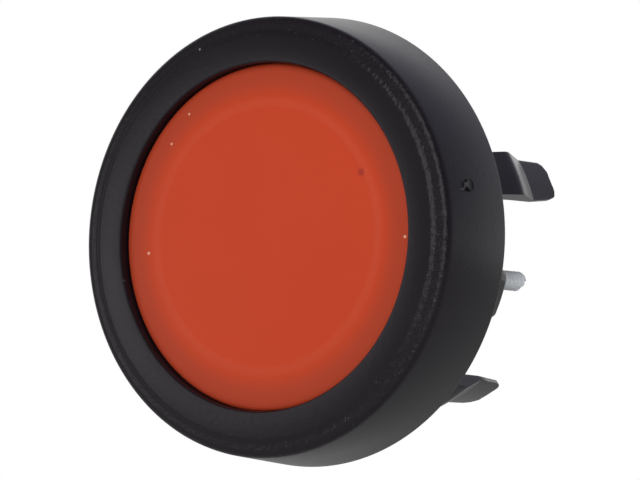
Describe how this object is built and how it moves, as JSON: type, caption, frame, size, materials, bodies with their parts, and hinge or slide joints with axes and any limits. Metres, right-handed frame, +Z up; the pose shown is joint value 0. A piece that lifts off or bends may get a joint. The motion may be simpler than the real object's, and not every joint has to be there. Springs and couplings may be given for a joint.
{
  "type": "pushbutton switch",
  "caption": "Round flush pushbutton switch with a wide black flared bezel, an orange-red cap, snap hooks for a panel hole and solder tails at the rear.",
  "frame": {"origin": "on the press axis, in the plane of the panel's front face, where the gasket seats", "axes": "+Y along the press axis towards the rear, +Z up, +X to the right seen from the front; the button faces -Y"},
  "size_m": [0.0313, 0.0221, 0.0312],
  "materials": {
    "black_plastic": "fine matt, as moulded",
    "orange_plastic": "smooth satin gloss",
    "white_plastic": "natural, as moulded",
    "black_rubber": "soft matt",
    "plated_steel": "bright zinc plated",
    "spring_steel": "drawn wire",
    "brass": "stamped",
    "silver": "bare silver"
  },
  "bodies": {
    "housing": {"bezel_ring": "black_plastic", "panel_gasket": "black_rubber", "head_body": "black_plastic", "stem_seal": "black_rubber", "return_spring": "spring_steel", "fixing_screws": "plated_steel", "contact_base": "black_plastic", "plunger_spring": "spring_steel", "no_terminal_right": "brass", "no_terminal_left": "brass", "nc_terminal_right": "brass", "nc_terminal_left": "brass", "no_tips": "silver", "nc_tips": "silver"},
    "button": {"button_cap": "orange_plastic", "cap_carrier": "white_plastic"},
    "plunger_slide": {"plunger": "white_plastic", "contact_spring": "spring_steel"},
    "bridge": {"contact_bridge": "brass", "bridge_tips": "silver"}
  },
  "joints": [
    {"name": "button_press", "type": "slide", "parent": "housing", "child": "button", "axis": [0, 1, 0], "range_m": [0, 0.0025], "stiffness_N_per_m": 400, "springref_m": -0.004, "deforming": ["return_spring"]},
    {"name": "plunger_travel", "type": "slide", "parent": "housing", "child": "plunger_slide", "axis": [0, 1, 0], "range_m": [0, 0.0025], "stiffness_N_per_m": 100, "springref_m": -0.002, "deforming": ["plunger_spring"]},
    {"name": "bridge_travel", "type": "slide", "parent": "housing", "child": "bridge", "axis": [0, 1, 0], "range_m": [0, 0.00187], "deforming": ["contact_spring"]}
  ],
  "couplings": [
    {"joint": "plunger_travel", "follows": "button_press", "ratio": 1},
    {"joint": "bridge_travel", "follows": "button_press", "ratio": 0.75}
  ]
}
